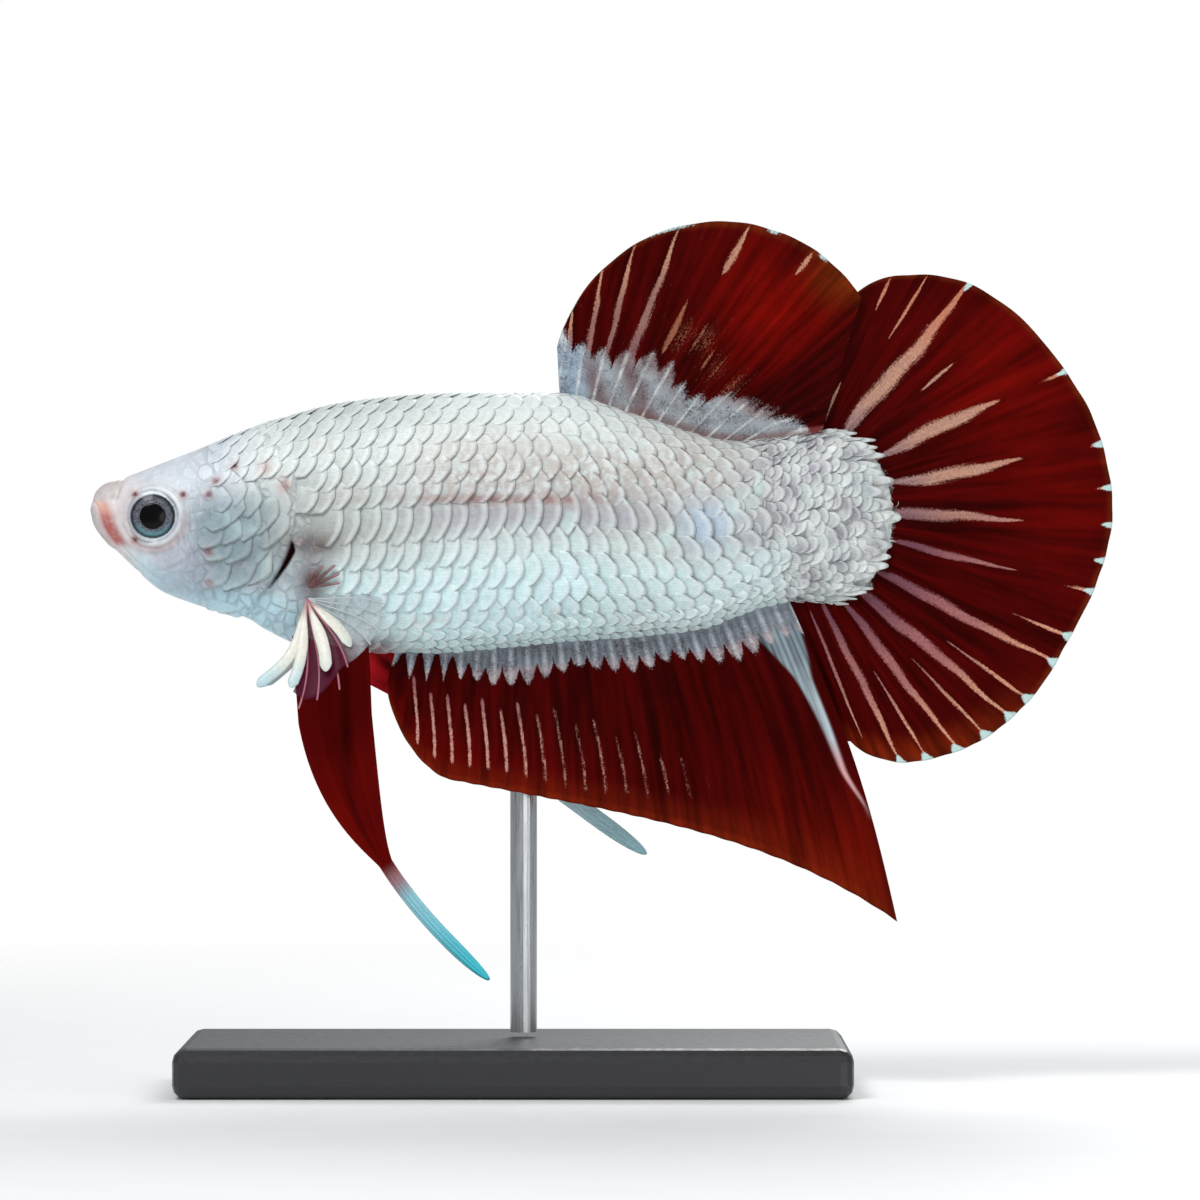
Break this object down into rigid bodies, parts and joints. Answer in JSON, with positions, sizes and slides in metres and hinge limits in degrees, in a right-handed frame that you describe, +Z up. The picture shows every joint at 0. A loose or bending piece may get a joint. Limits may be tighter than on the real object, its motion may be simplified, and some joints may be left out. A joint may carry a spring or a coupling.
{
  "type": "betta fish model on a display stand",
  "caption": "Life-size short-finned betta fish with pearly scales and dark red fins, swimming, on a flat base with one upright rod.",
  "frame": {"origin": "middle of the bounding box at the underside of the stand's base", "axes": "+Z up, the fish's head towards -X and its tail towards +X, its left side towards -Y"},
  "size_m": [0.0614, 0.024, 0.052],
  "materials": {
    "head_skin": "pearly lavender-white skin, satin",
    "jaw_skin": "orange-red lip fading to pale pink",
    "scales": "pearl-white overlapping scales with a silvery sheen",
    "eye": "black pupil, silver ring, wet gloss",
    "red_fin": "deep red ribbed membrane with pinkish streaks",
    "pale_fin": "clear membrane with cream-white rays",
    "stand_base": "satin black",
    "stand_rod": "brushed"
  },
  "bodies": {
    "root": {"head": "head_skin", "lower_jaw": "jaw_skin", "gill_cover_left": "head_skin", "gill_cover_right": "head_skin", "trunk": "scales", "tail_stem": "scales", "eye_left": "eye", "eye_right": "eye", "dorsal_fin": "red_fin", "caudal_fin": "red_fin", "anal_fin": "red_fin", "pelvic_fin_left": "red_fin", "pelvic_fin_right": "red_fin", "pectoral_fin_left": "pale_fin", "pectoral_fin_right": "pale_fin", "stand_base": "stand_base", "stand_rod": "stand_rod"}
  },
  "joints": []
}
